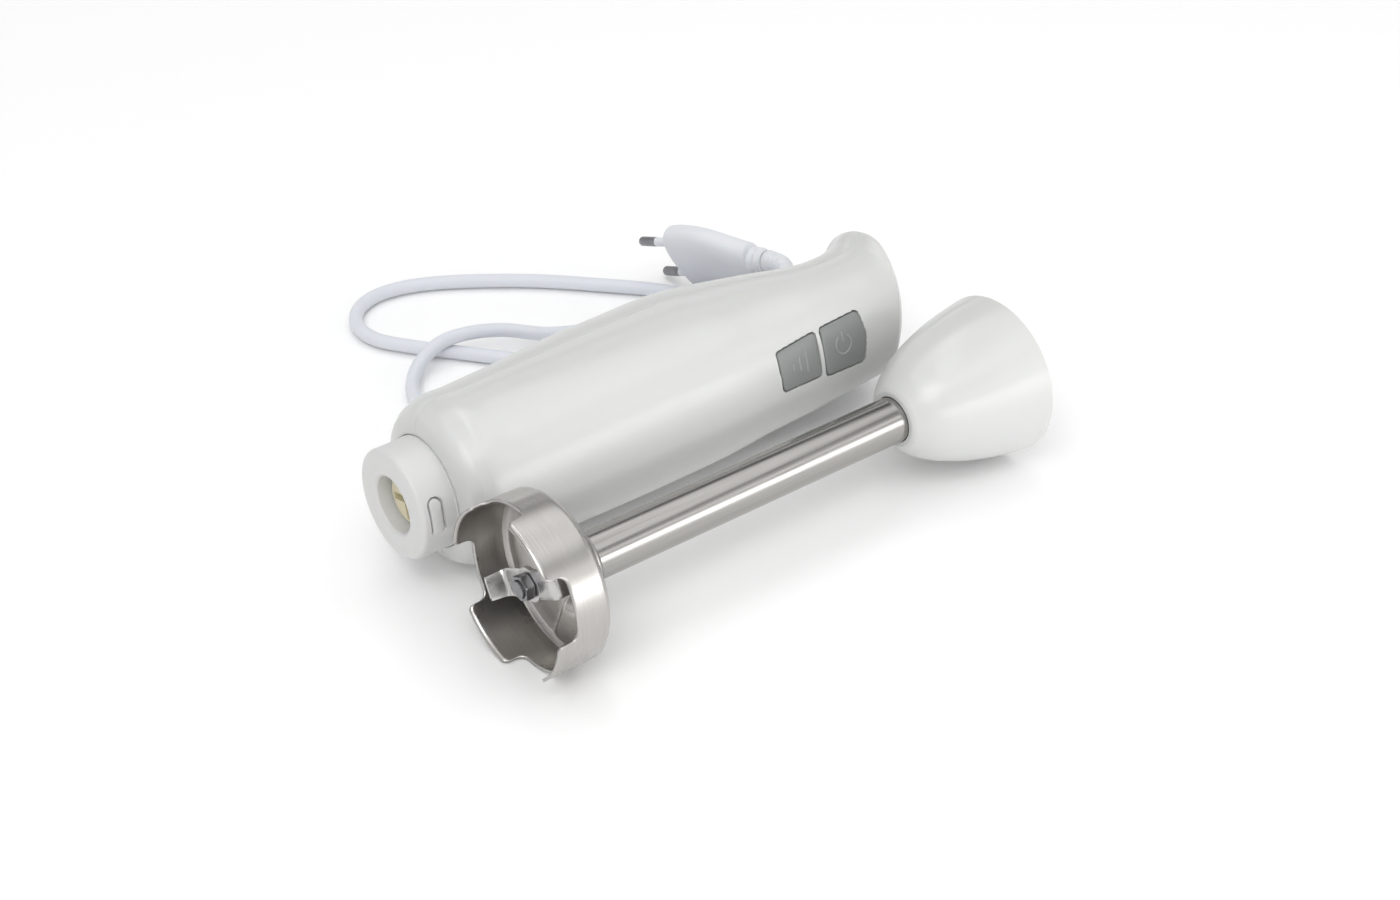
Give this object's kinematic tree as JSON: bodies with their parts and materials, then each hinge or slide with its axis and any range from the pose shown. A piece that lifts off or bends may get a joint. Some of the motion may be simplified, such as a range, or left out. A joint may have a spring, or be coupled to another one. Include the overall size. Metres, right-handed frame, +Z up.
{
  "type": "immersion blender",
  "caption": "Immersion blender taken apart: white motor handle with two press buttons, lead and plug, beside a steel blending leg with a notched blade guard and bell coupling.",
  "frame": {"origin": "on the table, below the middle of the box around the handle and the leg", "axes": "+X along the handle from nose to tail, +Y from the leg to the handle, +Z up"},
  "size_m": [0.2242, 0.2591, 0.0635],
  "materials": {
    "white_plastic": "glossy white moulded plastic",
    "grey_button": "satin grey soft-touch plastic",
    "steel": "brushed stainless steel",
    "ivory_plastic": "ivory nylon",
    "black_plastic": "black moulded plastic",
    "copper": "enamelled copper wire",
    "dark_steel": "ground steel",
    "brass": "plain brass",
    "board": "glass-filled circuit board",
    "carbon": "pressed carbon",
    "cord_pvc": "smooth white PVC lead"
  },
  "bodies": {
    "handle": {"front_shell": "white_plastic", "rear_shell": "white_plastic", "nose_collar": "white_plastic", "cord_gland": "cord_pvc", "cord_clamp": "black_plastic", "front_bracket": "black_plastic", "rear_bracket": "black_plastic", "front_bearing": "dark_steel", "rear_bearing": "dark_steel", "field_core": "dark_steel", "field_coil_left": "copper", "field_coil_right": "copper", "brush_holder_left": "brass", "carbon_brush_left": "carbon", "brush_holder_right": "brass", "carbon_brush_right": "carbon", "circuit_board": "board", "speed_switch": "black_plastic", "turbo_switch": "black_plastic", "suppression_capacitor": "brass", "housing_screw_1": "dark_steel", "housing_screw_2": "dark_steel", "housing_screw_3": "dark_steel", "housing_screw_4": "dark_steel", "plug_body": "cord_pvc", "plug_relief": "cord_pvc", "plug_sleeve_upper": "cord_pvc", "plug_pin_upper": "dark_steel", "plug_sleeve_lower": "cord_pvc", "plug_pin_lower": "dark_steel", "power_cord": "cord_pvc", "cord_coil": "cord_pvc", "cord_tail": "cord_pvc"},
    "motor_rotor": {"drive_coupling": "ivory_plastic", "motor_shaft": "dark_steel", "cooling_fan": "black_plastic", "armature_core": "dark_steel", "armature_winding_front": "copper", "armature_winding_rear": "copper", "commutator": "copper"},
    "speed_key": {"speed_button": "grey_button"},
    "turbo_key": {"turbo_button": "grey_button"},
    "latch": {"latch_tongue": "white_plastic"},
    "blending_leg": {"blade_guard": "steel", "leg_tube": "steel", "leg_cone": "white_plastic", "leg_socket": "white_plastic", "shaft_seal": "black_plastic", "lower_bush": "brass", "upper_bush": "brass"},
    "blade_spindle": {"blade_shaft": "dark_steel", "leg_coupling": "black_plastic", "blade": "steel", "blade_nut": "dark_steel"}
  },
  "joints": [
    {"name": "motor_spin", "type": "hinge", "parent": "handle", "child": "motor_rotor", "pos_m": [-0.0521, 0.024, 0.0328], "axis": [1, 0, 0], "continuous": true},
    {"name": "speed_press", "type": "slide", "parent": "handle", "child": "speed_key", "axis": [0, 0.9681, -0.2504], "range_m": [0, 0.0012], "stiffness_N_per_m": 900},
    {"name": "turbo_press", "type": "slide", "parent": "handle", "child": "turbo_key", "axis": [0, 0.9681, -0.2504], "range_m": [0, 0.0012], "stiffness_N_per_m": 900},
    {"name": "latch_flex", "type": "hinge", "parent": "handle", "child": "latch", "pos_m": [-0.106, 0.00455, 0.03107], "axis": [-1, 0, 0], "range_deg": [0, 6], "stiffness_Nm_per_rad": 0.6},
    {"name": "leg_pull", "type": "slide", "parent": "handle", "child": "blending_leg", "axis": [-1, 0, 0], "range_m": [0, 0.206]},
    {"name": "blade_spin", "type": "hinge", "parent": "blending_leg", "child": "blade_spindle", "pos_m": [-0.0083, -0.0379, 0.0305], "axis": [1, 0, 0], "continuous": true}
  ]
}
